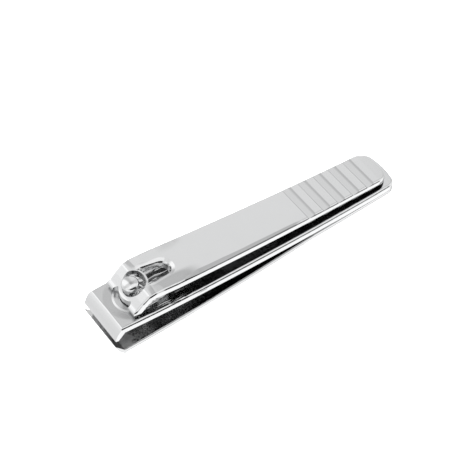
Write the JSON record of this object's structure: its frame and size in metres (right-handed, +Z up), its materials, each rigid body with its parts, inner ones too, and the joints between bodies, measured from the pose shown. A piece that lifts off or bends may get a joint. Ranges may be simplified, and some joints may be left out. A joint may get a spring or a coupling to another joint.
{
  "type": "nail clipper",
  "caption": "Lever nail clipper with straight jaws, spring arms, a pivot pin with a ball head, a grooved thumb lever folded flat and a nail file let into the upper arm.",
  "frame": {"origin": "centre of the base on the table plane the clipper lies on", "axes": "+X from the jaws to the joined tail, +Y across the width, +Z up through the lever"},
  "size_m": [0.08, 0.0136, 0.015],
  "materials": {
    "lower_arm": "polished plated steel",
    "upper_arm": "polished plated steel",
    "nail_file": "cross-cut file surface",
    "tail_rivet": "polished plated steel",
    "pivot_pin": "polished plated steel",
    "lever": "polished plated steel"
  },
  "bodies": {
    "lower_arm": {"lower_arm": "lower_arm", "tail_rivet": "tail_rivet"},
    "upper_arm": {"upper_arm": "upper_arm", "nail_file": "nail_file"},
    "pivot_pin": {"pivot_pin": "pivot_pin"},
    "lever": {"lever": "lever"}
  },
  "joints": [
    {"name": "jaw_close", "type": "hinge", "parent": "lower_arm", "child": "upper_arm", "pos_m": [0.033, 0, 0.00191], "axis": [0, -1, 0], "range_deg": [0, 1.6], "stiffness_Nm_per_rad": 20},
    {"name": "pin_swivel", "type": "hinge", "parent": "lower_arm", "child": "pivot_pin", "pos_m": [-0.03155, 0, 0], "axis": [0, 0, 1], "continuous": true},
    {"name": "lever_flip", "type": "hinge", "parent": "pivot_pin", "child": "lever", "pos_m": [-0.03338, 0, 0.01089], "axis": [0, -1, 0], "range_deg": [0, 145]}
  ]
}
